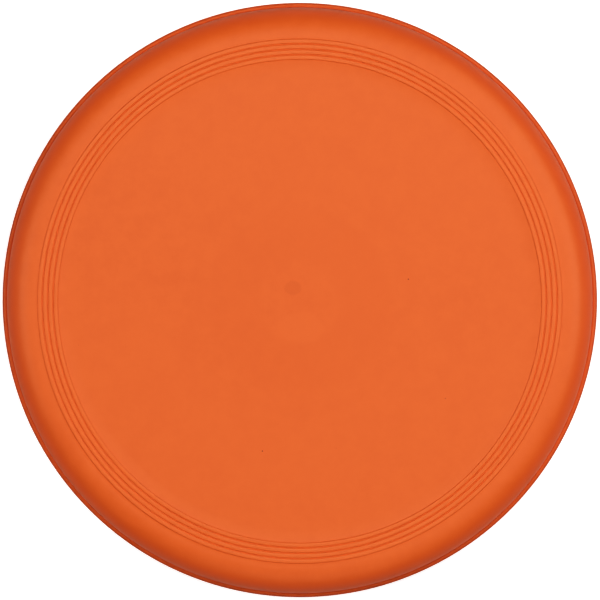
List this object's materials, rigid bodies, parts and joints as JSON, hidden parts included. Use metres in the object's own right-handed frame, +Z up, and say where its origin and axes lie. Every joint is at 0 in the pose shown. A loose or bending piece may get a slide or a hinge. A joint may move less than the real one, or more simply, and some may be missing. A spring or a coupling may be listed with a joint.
{
  "type": "flying disc",
  "caption": "Round flying disc: a shallow moulded plastic dish, open underneath, with concentric flight ribs, a rounded shoulder and a beaded rim.",
  "frame": {"origin": "middle of the rim's foot, on the surface that the disc lies on with its open side down", "axes": "+Z up along the axis that the disc spins about in flight, towards the ribbed top; X and Y are interchangeable, because the disc is round"},
  "size_m": [0.23, 0.23, 0.022],
  "materials": {
    "disc_plastic": "satin"
  },
  "bodies": {
    "root": {"disc": "disc_plastic"}
  },
  "joints": []
}
